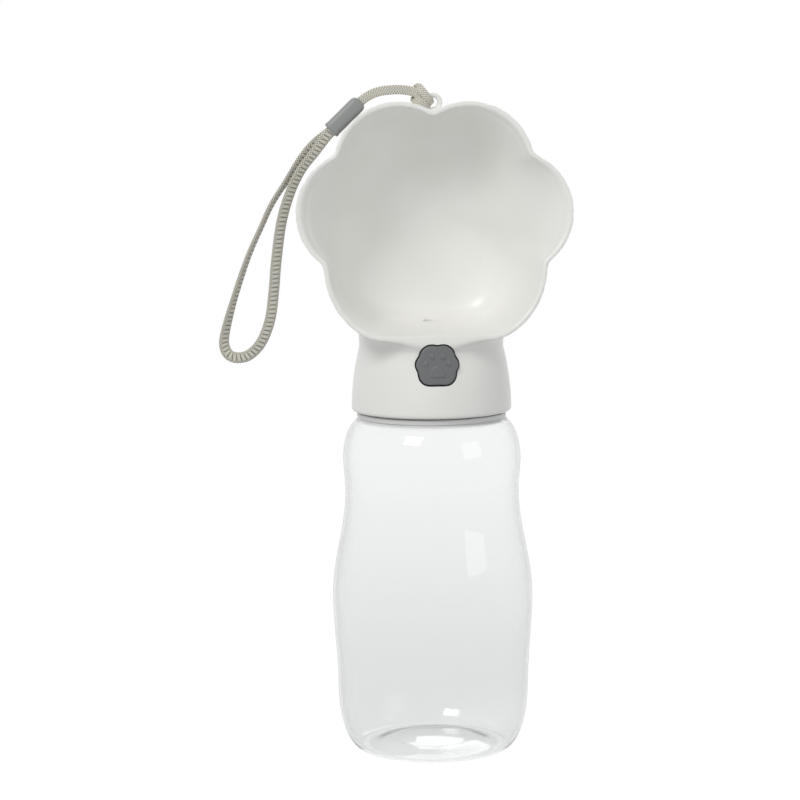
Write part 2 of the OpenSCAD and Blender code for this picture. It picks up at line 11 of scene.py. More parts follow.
import bmesh
import bpy
import numpy as np
from mathutils import Matrix, Vector


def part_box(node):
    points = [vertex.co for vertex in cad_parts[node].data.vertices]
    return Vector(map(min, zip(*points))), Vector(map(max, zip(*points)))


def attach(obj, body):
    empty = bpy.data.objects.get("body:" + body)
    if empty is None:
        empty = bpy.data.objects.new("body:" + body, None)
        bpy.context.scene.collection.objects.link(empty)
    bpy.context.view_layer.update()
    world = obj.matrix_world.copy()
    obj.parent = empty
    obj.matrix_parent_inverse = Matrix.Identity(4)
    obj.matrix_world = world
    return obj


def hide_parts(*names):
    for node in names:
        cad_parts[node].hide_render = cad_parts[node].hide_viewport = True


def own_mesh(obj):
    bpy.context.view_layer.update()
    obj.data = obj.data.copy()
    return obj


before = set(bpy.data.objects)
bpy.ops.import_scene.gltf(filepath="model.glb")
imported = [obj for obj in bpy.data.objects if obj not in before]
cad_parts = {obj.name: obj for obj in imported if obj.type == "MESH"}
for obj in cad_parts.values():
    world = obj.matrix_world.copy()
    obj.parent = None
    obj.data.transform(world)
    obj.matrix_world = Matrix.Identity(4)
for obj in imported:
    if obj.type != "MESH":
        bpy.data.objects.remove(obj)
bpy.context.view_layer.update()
mm = 0.001

# %% [markdown]
# ## The camera
# The camera was fitted to the outline of the bottle: it stands 950 mm from the axis, at the height
# of the bowl's rim, and looks 7 degrees down. The picture leans by half a degree, as a hand-held
# one does. A long lens keeps the bottle's sides nearly parallel, so no shift is needed.

# %% Camera
camera_from = Vector((-76.19, -946.94, 251.87)) * mm
heading, pitch, roll = radians(3.894), radians(7.23), radians(-0.444)
ahead = Vector((sin(heading) * cos(pitch), cos(heading) * cos(pitch), -sin(pitch)))
level = Vector((cos(heading), -sin(heading), 0))
rise = level.cross(ahead)
right = level * cos(roll) + rise * sin(roll)
up = rise * cos(roll) - level * sin(roll)
camera_data = bpy.data.cameras.new("camera")
camera_data.lens = 115.785
camera_data.sensor_width = 36
camera = bpy.data.objects.new("camera", camera_data)
camera.matrix_world = Matrix.Translation(camera_from) @ Matrix((right, up, -ahead)).transposed().to_4x4()
bpy.context.scene.collection.objects.link(camera)
bpy.context.scene.camera = camera
print("camera at", [round(v, 4) for v in camera_from], "lens", camera_data.lens)

# %% [markdown]
# ## Meshes from numbers
# Every piece below ends as arrays of points and faces, so one helper turns these into an object.
# A strap or a spring is a ring of points swept along a route. The other helpers smooth the route,
# give the directions across it, and join rings of points into a closed skin.

# %% Helpers: object, route and swept skin
def piece(name, points, faces, body=None, slot=None, smooth=True):
    """A new object at the origin of the frame, which rides on a body. Its faces are turned outwards."""
    mesh = bpy.data.meshes.new(name)
    mesh.from_pydata(np.asarray(points).tolist(), [], [list(map(int, f)) for f in faces])
    mesh.validate()
    shape = bmesh.new()
    shape.from_mesh(mesh)
    if shape.calc_volume(signed=True) < 0:
        bmesh.ops.reverse_faces(shape, faces=shape.faces)
        shape.to_mesh(mesh)
    shape.free()
    made = bpy.data.objects.new(name, mesh)
    bpy.context.scene.collection.objects.link(made)
    if smooth:
        mesh.shade_smooth()
    if body:
        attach(made, body)
    print(f"{name}: {len(mesh.vertices)} points, {len(mesh.polygons)} faces")
    return made


def smooth_route(points, spacing):
    """A route through given points, as a Catmull-Rom curve with evenly spaced points."""
    p = np.array(points, float)
    p = np.vstack([2 * p[0] - p[1], p, 2 * p[-1] - p[-2]])
    dense = []
    for a, b, c, d in zip(p, p[1:], p[2:], p[3:]):
        for t in np.linspace(0, 1, 24, endpoint=False):
            dense.append(0.5 * (2 * b + (c - a) * t + (2 * a - 5 * b + 4 * c - d) * t ** 2
                                + (3 * b - a - 3 * c + d) * t ** 3))
    dense = np.array(dense + [p[-2]])
    gone = np.concatenate([[0], np.cumsum(np.linalg.norm(np.diff(dense, axis=0), axis=1))])
    at = np.linspace(0, gone[-1], max(2, int(round(gone[-1] / spacing))))
    return np.stack([np.interp(at, gone, dense[:, k]) for k in range(3)], axis=1), at


def unit(v):
    return v / np.linalg.norm(v, axis=-1, keepdims=True)


def frames(route, facing=(0, 1, 0)):
    """The directions across and out of a ribbon along a route that faces one way."""
    along = unit(np.gradient(route, axis=0))
    across = unit(np.cross(along, np.broadcast_to(facing, along.shape)))
    return across, np.cross(across, along)


def skin(rows, ring, closed=False):
    """Faces between rows of ring points each. Its ends are capped unless the rows close."""
    faces = []
    for i in range(rows if closed else rows - 1):
        a, b = i * ring, (i + 1) % rows * ring
        faces += [(a + k, a + (k + 1) % ring, b + (k + 1) % ring, b + k) for k in range(ring)]
    if not closed:
        faces += [tuple(range(ring))[::-1], tuple(range((rows - 1) * ring, rows * ring))]
    return faces


# %% [markdown]
# ## The braid
# The strap is a flat braided tube. Its faces show slanting ribs, one for each bundle of yarn, and
# at its two edges the bundles turn round and show as rows of pale flecks. A texture alone would
# leave its outline smooth, so ribs and flecks are raised in the mesh itself. Each point also keeps
# how high it lies and how pale it is, and from that the material paints shade low down and light on the crowns.

# %% Weave
rib_pitch, fleck_pitch = 1.6 * mm, 0.95 * mm
rib_slant, rib_shape, fleck_shape = 0.22, 0.45, 0.6
yarn_height = 0.17 * mm
edge_from, edge_to = 0.5, 0.62
edge_rows, face_rows = 1.9, 2.6
squareness, braid_step = 0.75, 0.2 * mm


def step(value, low, high):
    t = np.clip((value - low) / (high - low), 0, 1)
    return t * t * (3 - 2 * t)


def weave(across, angle, along, ribbed):
    """Height and paleness of the yarn, both from 0 to 1, at a place on the braid.

    across runs from -1 to 1 over the width and angle is the place round the section.
    """
    rib = (along / rib_pitch + rib_slant * across) % 1
    rib_top = (0.5 - 0.5 * np.cos(2 * pi * rib)) ** rib_shape
    from_edge = np.minimum(np.minimum(angle, 2 * pi - angle), np.abs(pi - angle))
    row = from_edge * edge_rows if ribbed else np.abs(across) * face_rows
    fleck = np.cos(2 * pi * along / fleck_pitch) * np.cos(pi * row)
    fleck_top = 0.5 + 0.5 * np.sign(fleck) * np.abs(fleck) ** fleck_shape
    edge = step(np.abs(across), edge_from, edge_to) if ribbed else np.ones_like(across)
    fleck_low = 0.1 if ribbed else 0.3
    fleck_top = fleck_low + (1 - fleck_low) * fleck_top
    height = rib_top * (1 - edge) + fleck_top * edge
    # Paleness rises on the rib crowns, which is painted light, and on the flecks at the edges.
    return height, (0.45 + 0.25 * rib_top) * (1 - edge) + fleck_top * edge


def braid(name, route, width, thick, twist=((0, 1), (0, 0)), ribbed=True, ring=48):
    """A woven ribbon along a route. width and twist are tables over the share of the way."""
    line, gone = smooth_route(route, braid_step)
    share = gone / gone[-1]
    across, out = frames(line)
    angle = np.arange(ring) * 2 * pi / ring
    flat, deep = (np.sign(way) * np.abs(way) ** squareness for way in (np.cos(angle), np.sin(angle)))
    c, s = (f(np.radians(np.interp(share, *twist)))[:, None] for f in (np.cos, np.sin))
    across, out = across * c + out * s, out * c - across * s
    height, pale = weave(np.broadcast_to(flat, (len(gone), ring)), angle, gone[:, None], ribbed)
    half = np.interp(share, *width)[:, None] / 2 if isinstance(width, tuple) else width / 2
    far = np.hypot(flat * half, deep * thick / 2)
    scale = 1 + yarn_height * (height - 1) / np.maximum(far, thick / 2)
    points = (line[:, None, :] + across[:, None, :] * (flat * half * scale)[..., None]
              + out[:, None, :] * (deep * thick / 2 * scale)[..., None])
    made = piece(name, points.reshape(-1, 3), skin(len(gone), ring), "head", "braid")
    corners = np.zeros(len(made.data.loops), int)
    made.data.loops.foreach_get("vertex_index", corners)
    woven = np.stack([height, pale], -1).reshape(-1, 2)[corners]
    made.data.uv_layers.new(name="weave").data.foreach_set("uv", woven.ravel())
    return made, line


def line_length(line):
    return float(np.linalg.norm(np.diff(line, axis=0), axis=1).sum())


# %% [markdown]
# ## The wrist loop
# The loop is one braid of fixed length. Both its ends go into the sleeve, and it stands out to the
# left of the bowl, because a fresh braid is springy. It is twisted: the left leg shows its flecked
# edge, and the right leg turns its ribbed face to the front. The route is the CAD model's.

# %% Wrist loop
braid_width, braid_thick = 4.1 * mm, 1.6 * mm
loop_route = [(-35.4, -13, 232.9), (-38, -13, 230.5), (-42.6, -13, 227), (-46.7, -13, 222.6),
              (-51.1, -13, 216.4), (-58.2, -13.2, 206), (-62.5, -13.4, 197.2), (-67.5, -13.6, 186.2),
              (-72.4, -14, 172.3), (-75.8, -14.3, 160.6), (-76.6, -14.5, 154.8), (-75, -14.7, 151),
              (-71.3, -14.8, 149.8), (-67, -15, 151.2), (-62.9, -15.1, 155.8), (-59.8, -15.2, 163.8),
              (-58.3, -15.4, 174.3), (-57.3, -15.6, 184.9), (-55.3, -15.8, 198.6), (-52.2, -15.8, 209),
              (-48.2, -15.6, 217.1), (-43, -15.2, 223.9), (-38.85, -15, 229.35), (-36.1, -15, 232.3)]
loop_twist = ((0, 0.03, 0.08, 0.11, 0.15, 0.25, 0.38, 0.45, 0.5, 0.55, 0.8, 0.92, 0.975, 1),
              (0, 5, 32, 44, 68, 72, 60, 38, 10, -14, -22, -36, -14, 0))
wrist_loop, loop_line = braid("wrist_loop_braid", np.array(loop_route) * mm, braid_width, braid_thick,
                              loop_twist)
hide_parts("wrist_loop")
print(f"wrist loop: {line_length(loop_line) / mm:.0f} mm of braid")

# %% [markdown]
# ## The tether and its hitch
# Past the sleeve the braid goes on in two layers over the bowl's left lobe, round the band of the
# strap eye and back. The hitch is a lark's head: the strap goes through its own bight, whose two
# legs lie side by side over the band and dive into the eye. The bight is the separate strip here.

# %% Tether
tether_route = np.array([(-27.6, -14, 240.7), (-25.9, -14, 242.2), (-23.4, -13.9, 243.9), (-20.2, -13.7, 245.3),
                         (-16.1, -13.5, 246), (-11.7, -13.1, 246.1), (-8, -12.6, 245.6)])
layer = np.array([0, 0.62, 0])
round_band = [(-5.4, -13.6, 244.6), (-3.4, -14.3, 243.1), (-1.7, -14.2, 242.1), (-0.75, -13.1, 241.5),
              (-0.65, -11.8, 241.4), (-0.9, -10.6, 241.6), (-2, -9.8, 242.2), (-3.6, -10, 243.3),
              (-5.5, -11.2, 244.7)]
there_and_back = np.vstack([tether_route - layer, round_band, (tether_route + layer)[::-1]]) * mm
tether_w, tether_thick = 3.5 * mm, 1.15 * mm
tether_width = ((0, 0.36, 0.44, 0.5, 0.56, 0.64, 1),
                (tether_w, tether_w, 2.6 * mm, 1.7 * mm, 2.6 * mm, tether_w, tether_w))
tether, tether_line = braid("strap_tether_braid", there_and_back, tether_width, tether_thick, ribbed=False)
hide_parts("strap_tether", "strap_hitch")

# %% Bight of the hitch
upper_leg = [(-5.9, -10.6, 245.3), (-5.8, -11.6, 246.7), (-5, -13.6, 246.9), (-3.8, -15.2, 245.5),
             (-2.4, -15.6, 243.7), (-1, -15, 242.3), (-0.3, -13.4, 241.9), (-0.4, -11.2, 242.2), (-1.4, -9.2, 242.9)]
lower_leg = [(-6, -10.2, 243.6), (-6.6, -11.6, 242.5), (-6.2, -13.8, 242.2), (-5, -15.2, 241.9),
             (-3.5, -15.3, 241.1), (-2.2, -14.6, 240.5), (-1.3, -13, 240.5), (-1.1, -11, 240.7), (-1.8, -9.4, 241.1)]
leg_width = ((0, 0.25, 0.65, 0.8, 1), (2.4 * mm, 3.1 * mm, 2.9 * mm, 1.6 * mm, 1.6 * mm))
leg_thick = 1.05 * mm
legs = [braid("strap_bight_" + name, np.array(leg) * mm, leg_width, leg_thick, ribbed=False, ring=36)[0]
        for name, leg in (("upper", upper_leg), ("lower", lower_leg))]
print(f"tether: {line_length(tether_line) / mm:.0f} mm of braid")

# %% [markdown]
# ## Shader maths in plain Python
# A material is a small network of nodes. Written node by node it is hard to read, so a class wraps
# a socket and overloads the operators: `1 - mask` then adds the Math node that does it. Colours
# and vectors go through Mix and Vector Math instead, because a Math node turns a colour grey.

# %% The material kit
class Wire:
    """One socket of a material. Sums and products of wires add the nodes that work them out."""

    def __init__(self, finish, socket):
        self.finish, self.socket = finish, socket

    def maths(self, operation, a, b):
        vector = any(isinstance(v, Wire) and v.socket.type == "VECTOR" for v in (a, b))
        kind = "ShaderNodeVectorMath" if vector else "ShaderNodeMath"
        spread = (lambda v: v if isinstance(v, Wire) else (v,) * 3) if vector else (lambda v: v)
        return self.finish.node(kind, {"operation": operation}, {0: spread(a), 1: spread(b)})

    def __add__(self, other): return self.maths("ADD", self, other)
    def __radd__(self, other): return self.maths("ADD", other, self)
    def __sub__(self, other): return self.maths("SUBTRACT", self, other)
    def __rsub__(self, other): return self.maths("SUBTRACT", other, self)
    def __mul__(self, other): return self.maths("MULTIPLY", self, other)
    def __rmul__(self, other): return self.maths("MULTIPLY", other, self)
    def __pow__(self, other): return self.maths("POWER", self, other)
    def __rpow__(self, other): return self.maths("POWER", other, self)

    def ramp(self, low, high, to_low=0.0, to_high=1.0):
        """A smooth step as the value goes from low to high."""
        return self.finish.node("ShaderNodeMapRange", {"interpolation_type": "SMOOTHSTEP"},
                                {"Value": self, "From Min": low, "From Max": high,
                                 "To Min": to_low, "To Max": to_high})


class Finish:
    """A material under construction, or the light of a world."""

    def __init__(self, name, world=None):
        self.made = world or bpy.data.materials.new(name)
        self.made.use_nodes = True
        self.tree = self.made.node_tree
        self.tree.nodes.clear()
        self.out = self.tree.nodes.new("ShaderNodeOutputWorld" if world else "ShaderNodeOutputMaterial")

    def node(self, kind, settings=None, sockets=None, out=0):
        made = self.tree.nodes.new(kind)
        for key, value in (settings or {}).items():
            setattr(made, key, value)
        for key, value in (sockets or {}).items():
            if isinstance(value, Wire):
                self.tree.links.new(value.socket, made.inputs[key])
            else:
                made.inputs[key].default_value = value
        return Wire(self, made.outputs[out])

    def place(self):
        return self.node("ShaderNodeTexCoord", out="Object")

    def noise(self, grain, detail=2.0, at=None):
        """Noise whose blots are about grain metres across, from 0 to 1."""
        return self.node("ShaderNodeTexNoise", {}, {"Vector": at or self.place(), "Scale": 1 / grain,
                                                    "Detail": detail})

    def blend(self, factor, first, second):
        return self.node("ShaderNodeMix", {"data_type": "RGBA"}, {0: factor, 6: first, 7: second}, out=2)

    def bump(self, height, depth, strength=1.0):
        return self.node("ShaderNodeBump", {}, {"Height": height, "Distance": depth, "Strength": strength})

    def shader(self, **sockets):
        names = {key.replace("_", " "): value for key, value in sockets.items()}
        return self.node("ShaderNodeBsdfPrincipled", {}, names)

    def show(self, shader):
        self.tree.links.new(shader.socket, self.out.inputs["Surface"])
        return self.made


def rgb(*seen):
    """A colour as seen on a screen, 0 to 255, as the linear values that Blender mixes."""
    return tuple((v / 255 / 12.92) if v < 10.3 else ((v / 255 + 0.055) / 1.055) ** 2.4 for v in seen) + (1.0,)


# %% [markdown]
# ## Finishes
# Moulded plastic is never one flat colour: its skin has a fine grain from the mould, and the
# colour drifts a little with the wall's thickness. Each finish below has a base tone, that drift,
# and a roughness and a bump at the grain's own scale.

# %% Moulded plastics
def moulded(name, tone, shade, rough, grain=0.35 * mm, depth=0.006 * mm, **more):
    """Plastic with a fine mould grain. It drifts between two tones over some centimetres."""
    f = Finish(name)
    drift = f.noise(28 * mm, 1.0).ramp(0.35, 0.65)
    fine = f.noise(grain, 3.0)
    base = f.blend(drift, rgb(*tone), rgb(*shade))
    return f.show(f.shader(Base_Color=base, Roughness=rough + (fine - 0.5) * 0.12,
                           Normal=f.bump(fine, depth), **more))


white_shell = moulded("white shell plastic", (248, 248, 245), (245, 245, 241), 0.34,
                      Coat_Weight=0.15, Coat_Roughness=0.25)
white_inner = moulded("white inner plastic", (226, 226, 222), (221, 221, 216), 0.48)
grey_button = moulded("grey button plastic", (116, 118, 119), (112, 114, 115), 0.42,
                      grain=0.25 * mm, depth=0.01 * mm)
grey_sleeve = moulded("grey sleeve plastic", (152, 155, 153), (146, 149, 147), 0.4,
                      grain=0.25 * mm, depth=0.008 * mm)
stem_plastic = moulded("stem plastic", (212, 213, 214), (205, 206, 208), 0.4)


# %% [markdown]
# Silicone is softer and duller than the hard plastics, and lets a little light in under its skin.
# The spring and its washer are drawn stainless wire, with fine lines round them.

# %% Silicone and steel
def silicone_finish():
    f = Finish("silicone")
    fine = f.noise(0.5 * mm, 2.0)
    base = f.blend(f.noise(6 * mm), rgb(232, 232, 230), rgb(222, 223, 222))
    return f.show(f.shader(Base_Color=base, Roughness=0.5 + fine * 0.12, Subsurface_Weight=0.25,
                           Subsurface_Scale=1.5 * mm, Normal=f.bump(fine, 0.01 * mm)))


def steel_finish():
    f = Finish("spring steel")
    drawn = f.noise(0.2 * mm, 4.0)
    base = f.blend(drawn, rgb(205, 206, 208), rgb(170, 172, 175))
    return f.show(f.shader(Base_Color=base, Metallic=1.0, Roughness=0.24 + drawn * 0.14,
                           Normal=f.bump(drawn, 0.003 * mm)))


silicone, steel = silicone_finish(), steel_finish()


# %% [markdown]
# The braid's yarns are pale, yellowish white and grey by turns, as the photograph shows. The mesh
# holds how high each point lies and how pale it is: painted shade darkens it where yarns dive under
# each other, painted light makes it pale on their crowns, and fine fibres run over all of it.

# %% Braid finish
def braid_finish():
    f = Finish("woven braid")
    woven = f.node("ShaderNodeUVMap", {"uv_map": "weave"})
    height = f.node("ShaderNodeSeparateXYZ", {}, {0: woven}, out="X")
    pale = f.node("ShaderNodeSeparateXYZ", {}, {0: woven}, out="Y")
    fibre = f.noise(0.14 * mm, 3.0)
    # Partly painted light: the yarn turns paler and yellower where it is pale, which on the faces is the rib crowns.
    yarn = f.blend(pale.ramp(0.45, 0.9), rgb(208, 205, 196), rgb(238, 236, 220))
    worn = f.blend(fibre.ramp(0.35, 0.8) * 0.4, yarn, rgb(172, 169, 160))
    # Painted shade: the yarn turns dark where it lies low, between the ribs and the flecks.
    base = f.blend(height.ramp(0.0, 0.75), rgb(98, 95, 86), worn)
    return f.show(f.shader(Base_Color=base, Roughness=0.75 + fibre * 0.15,
                           Sheen_Weight=0.2, Sheen_Roughness=0.5, Normal=f.bump(fibre, 0.06 * mm, 0.6)))


woven_braid = braid_finish()
for soft in (wrist_loop, tether, *legs):
    soft.data.materials.append(woven_braid)


# %% [markdown]
# Clear plastic shows what is behind it, and its own edges. The grey outline of the bottle is painted
# shade: Layer Weight gives how steeply the surface is seen, and greys the plastic there. Light from
# the lamps goes straight through, so that the shadow on the table stays as light as a clear bottle's
# is. The plastic is tinted greyer towards the base. The bead and neck are painted pale and matt,
# which stands in for the light that the clear bead reflects and lets through.

# %% Clear plastic
def clear_finish():
    f = Finish("clear plastic")
    steep = f.node("ShaderNodeLayerWeight", {}, {"Blend": 0.5}, out="Facing")
    film = f.noise(9 * mm, 2.0)
    height = f.node("ShaderNodeSeparateXYZ", {}, {0: f.place()}, out="Z")
    # The plastic is tinted greyer towards the base.
    wall = f.blend(height.ramp(20 * mm, 118 * mm), rgb(235, 236, 236), rgb(249, 250, 250))
    # Painted shade: the plastic turns grey where its surface is seen at a grazing angle, which draws the bottle's
    # outline.
    shaded_tint = f.blend((steep ** 3.0).ramp(0.0, 1.0), wall, rgb(178, 180, 181))
    glass = f.shader(Base_Color=shaded_tint, Transmission_Weight=1.0, IOR=1.49,
                     Roughness=0.02 + film.ramp(0.45, 0.8) * 0.03)
    through = f.node("ShaderNodeBsdfTransparent", {}, {"Color": (0.93, 0.94, 0.94, 1)})
    lamp = f.node("ShaderNodeLightPath", out="Is Shadow Ray")
    clear = f.node("ShaderNodeMixShader", {}, {0: lamp, 1: glass, 2: through})
    # Painted light: the bead and neck become a pale matt plastic, in place of the light that the clear bead reflects
    # and lets through.
    painted_pale_bead = f.shader(Base_Color=rgb(236, 237, 236), Roughness=0.35 + film * 0.1)
    neck = height.ramp(124 * mm, 124.8 * mm)
    return f.show(f.node("ShaderNodeMixShader", {}, {0: neck * 0.9, 1: clear, 2: painted_pale_bead}))


clear_plastic = clear_finish()

# %% [markdown]
# ## The bottle
# The bottle is blown into a mould: one wall, about a millimetre thick, that swells and draws in
# between named sizes. It is round, so it is a profile turned about the axis. Both sides of the
# wall are modelled, because clear plastic bends light at each of them. The neck carries a raised
# helical thread, which is pushed out of the same skin so that no surface hides inside it.

# %% Bottle profile
belly_r, belly_z, waist_r, waist_z = 37.5 * mm, 58 * mm, 32.4 * mm, 98 * mm
shoulder_r, shoulder_z, shoulder_round = 33.1 * mm, 110 * mm, 9 * mm
bead_r, bead_z, bead_t, bottle_wall = 27.7 * mm, 127.3 * mm, 2 * mm, 1 * mm
neck_r, neck_wall, neck_h, thread_h = 24.4 * mm, 1.8 * mm, 8.6 * mm, 1 * mm
base_ring_r, ring_t, push_up, dome_r, dome_sag = 27 * mm, 2.5 * mm, 3.6 * mm, 14 * mm, 1.2 * mm
corner_z, corner_r = 24 * mm, belly_r - 1.7 * mm
shoulder_rise = bead_z - bead_t - shoulder_z + 0.8 * mm
neck_top = bead_z + neck_h


def swell(z, z0, r0, z1, r1):
    return r0 + (r1 - r0) * (1 - np.cos(pi * (z - z0) / (z1 - z0))) / 2


def body_r(z):
    """Radius of the bottle's side: base corner, belly, waist and shoulder."""
    return np.where(z < belly_z, swell(z, corner_z, corner_r, belly_z, belly_r),
                    np.where(z < waist_z, swell(z, belly_z, belly_r, waist_z, waist_r),
                             swell(z, waist_z, waist_r, shoulder_z, shoulder_r)))


def bottle_skin(inset):
    """One side of the wall, from the middle of the base to under the bead."""
    ring_r, turn = base_ring_r - ring_t + inset / 2, shoulder_r - shoulder_round
    t = np.linspace(0, 1, 9)[:-1]
    dome = np.stack([dome_r * t, inset + push_up - dome_sag * t ** 2], 1)
    t = np.linspace(0, 1, 14)
    fall = np.stack([dome_r + (ring_r - dome_r) * t,
                     inset + (push_up - dome_sag) * (1 + np.cos(pi * t)) / 2], 1)
    a = np.radians(np.arange(0, 88, 3.5))
    corner = np.stack([ring_r + ring_t - inset + (corner_r - ring_r - ring_t) * np.sin(a),
                       corner_z - (corner_z - inset) * np.cos(a)], 1)
    z = np.arange(corner_z, shoulder_z - 0.5 * mm, 1.6 * mm)
    side = np.stack([body_r(z) - inset, z], 1)
    a = np.radians(np.arange(0, 76, 4))
    top = np.stack([turn + (shoulder_round - inset) * np.cos(a),
                    shoulder_z + (shoulder_rise - inset) * np.sin(a)], 1)
    return np.vstack([dome, fall, corner, side, top])


def rounded(corners, radius, steps=5):
    """A polyline whose inner corners are rounded by short arcs."""
    corners = np.array(corners, float)
    out = [corners[0]]
    for a, b, c in zip(corners, corners[1:], corners[2:]):
        reach = min(radius, 0.45 * np.linalg.norm(a - b), 0.45 * np.linalg.norm(c - b))
        start, end = b + (a - b) / np.linalg.norm(a - b) * reach, b + (c - b) / np.linalg.norm(c - b) * reach
        for t in np.linspace(0, 1, steps):
            out.append((1 - t) ** 2 * start + 2 * t * (1 - t) * b + t ** 2 * end)
    return np.array(out + [corners[-1]])


bore_r = neck_r - neck_wall
neck_skin = [(neck_r, z) for z in np.arange(bead_z + 0.3 * mm, neck_top - 0.5 * mm, 0.16 * mm)]
bead = rounded([(shoulder_r - 4 * mm - 4.6 * mm, bead_z - bead_t), (bead_r, bead_z - bead_t), (bead_r, bead_z),
                (neck_r, bead_z), neck_skin[0]], 0.6 * mm)
lip = rounded([neck_skin[-1], (neck_r, neck_top), (bore_r, neck_top), (bore_r, bead_z - bead_t)], 0.5 * mm)
outer, inner = bottle_skin(0), bottle_skin(bottle_wall)
bottle_profile = np.vstack([outer[1:], bead[1:], neck_skin[1:], lip[1:], inner[:0:-1]])
print("bottle profile:", len(bottle_profile), "points")


# %% Thread and lathe
thread_pitch, thread_turns, thread_from = 4 * mm, 1.2, bead_z + 1.6 * mm
thread_flank, thread_run_in = 0.55 * mm, 14


def thread_lift(angle, z):
    """How far the thread stands out at an angle and height, from 0 to 1."""
    lift = np.zeros(np.broadcast(angle, z).shape)
    for lap in range(3):
        gone = angle / (2 * pi) + lap
        middle = thread_from + gone * thread_pitch
        ends = np.clip(np.minimum(gone, thread_turns - gone) * thread_run_in, 0, 1)
        lift = np.maximum(lift, np.clip(1.5 - np.abs(z - middle) / thread_flank, 0, 1) * ends)
    return lift


def lathe(name, profile, turns=192, lift=None, **rides):
    """Turn a profile that starts and ends at the axis. lift adds radius at an angle and a height."""
    angle = np.arange(turns) * 2 * pi / turns
    r, z = profile[:, :1], profile[:, 1:]
    radius = r + (lift(angle, z, r) if lift else 0)
    points = np.stack([radius * np.cos(angle), radius * np.sin(angle), z + 0 * angle], -1).reshape(-1, 3)
    rows = len(profile)
    quads = skin(rows, turns)[:-2]
    first, last = rows * turns, rows * turns + 1
    fan = [(first, (k + 1) % turns, k) for k in range(turns)]
    fan += [(last, (rows - 1) * turns + k, (rows - 1) * turns + (k + 1) % turns) for k in range(turns)]
    poles = [(0, 0, profile[0, 1]), (0, 0, profile[-1, 1])]
    return piece(name, np.vstack([points, poles]), quads + fan, **rides)


def neck_lift(angle, z, r):
    return thread_h * thread_lift(angle, z) * (np.abs(r - neck_r) < 1e-6) * (z > bead_z)


bottle = lathe("bottle_clear", bottle_profile, lift=neck_lift, body="bottle", slot="clear_plastic")
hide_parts("bottle")
bottle.data.materials.append(clear_plastic)


# %% [markdown]
# ## Casting a moulding
# The head is one moulding: a bowl that runs into a collar with soft corners everywhere. Joining
# meshes would leave hard seams, so the plastic is described as a field instead: a function that
# is negative inside the wall and positive outside, about the distance to the skin. Two fields
# melt into each other with a fillet, or one is cut out of another with a rounded edge. The skin
# is then found on a grid, one point to each cell that it passes, and every point is moved onto
# the exact surface.

# %% Helpers: fields and casting
def melt(a, b, fillet):
    """Both solids together, with the corner between them filled."""
    h = np.clip(0.5 + 0.5 * (b - a) / fillet, 0, 1)
    return b * (1 - h) + a * h - fillet * h * (1 - h)


def trim(a, b, edge):
    """Only what lies in both solids, with a rounded edge."""
    return -melt(-a, -b, edge)


def cast(name, field, low, high, step, **rides):
    """The skin of a field between two corners, as quads about step across."""
    axes = [np.arange(lo - 1.5 * step, hi + 2.5 * step, step) for lo, hi in zip(low, high)]
    value = field(*np.meshgrid(*axes, indexing="ij"))
    inside = value < 0
    corners = [np.array((i, j, k)) for i in (0, 1) for j in (0, 1) for k in (0, 1)]
    shape = np.array(value.shape) - 1
    count = sum(inside[tuple(slice(c, c + n) for c, n in zip(corner, shape))].astype(np.int8)
                for corner in corners)
    cells = np.argwhere((count > 0) & (count < 8))
    number = np.full(shape, -1)
    number[tuple(cells.T)] = np.arange(len(cells))
    total, hits = np.zeros((len(cells), 3)), np.zeros(len(cells))
    for a in corners:
        for b in corners:
            if (b - a).sum() == 1 and (b - a).min() == 0:
                va, vb = value[tuple((cells + a).T)], value[tuple((cells + b).T)]
                cross = (va < 0) != (vb < 0)
                share = va[cross] / (va[cross] - vb[cross])
                total[cross] += a + share[:, None] * (b - a)
                hits[cross] += 1
    start = np.array([a[0] for a in axes])
    points = start + (cells + total / hits[:, None]) * step
    quads = []
    for d in range(3):
        e, f = (d + 1) % 3, (d + 2) % 3
        near, far = [slice(1, -1)] * 3, [slice(1, -1)] * 3
        near[d], far[d] = slice(0, -1), slice(1, None)
        a, b = inside[tuple(near)], inside[tuple(far)]
        at = np.argwhere(a != b)
        out = a[tuple(at.T)]
        at = at + 1
        at[:, d] -= 1
        one, two = np.eye(3, dtype=int)[e], np.eye(3, dtype=int)[f]
        ids = [number[tuple((at - one * p - two * q).T)] for p, q in ((1, 1), (0, 1), (0, 0), (1, 0))]
        quad = np.stack(ids, 1)
        quad[~out] = quad[~out][:, ::-1]
        quads.append(quad)
    for _ in range(4):
        points = onto(field, points, step)
    return piece(name, points, np.vstack(quads), **rides)


def onto(field, points, step):
    """Points moved towards the field's zero, by at most a third of a step."""
    small = step * 0.05
    value = field(*points.T)
    slope = np.stack([(field(*(points + small * axis).T) - field(*(points - small * axis).T)) / (2 * small)
                      for axis in np.eye(3)], 1)
    move = value[:, None] * slope / np.maximum((slope ** 2).sum(1), 0.05)[:, None]
    far = np.linalg.norm(move, axis=1, keepdims=True)
    return points - move * np.minimum(1, step / 3 / np.maximum(far, 1e-9))


# %% [markdown]
# ## The bowl's shape
# Seen from the front the rim is a paw: two upper toes, two side toes and a wide pad, run together
# with softly rounded notches and cut flat at the collar. It is given as a radius at each angle.
# Behind the rim the lobes fade into a round well with a curved floor. Near the collar the wall is
# straighter, so that the bowl holds more water when upright. A faint groove sets off the rim.

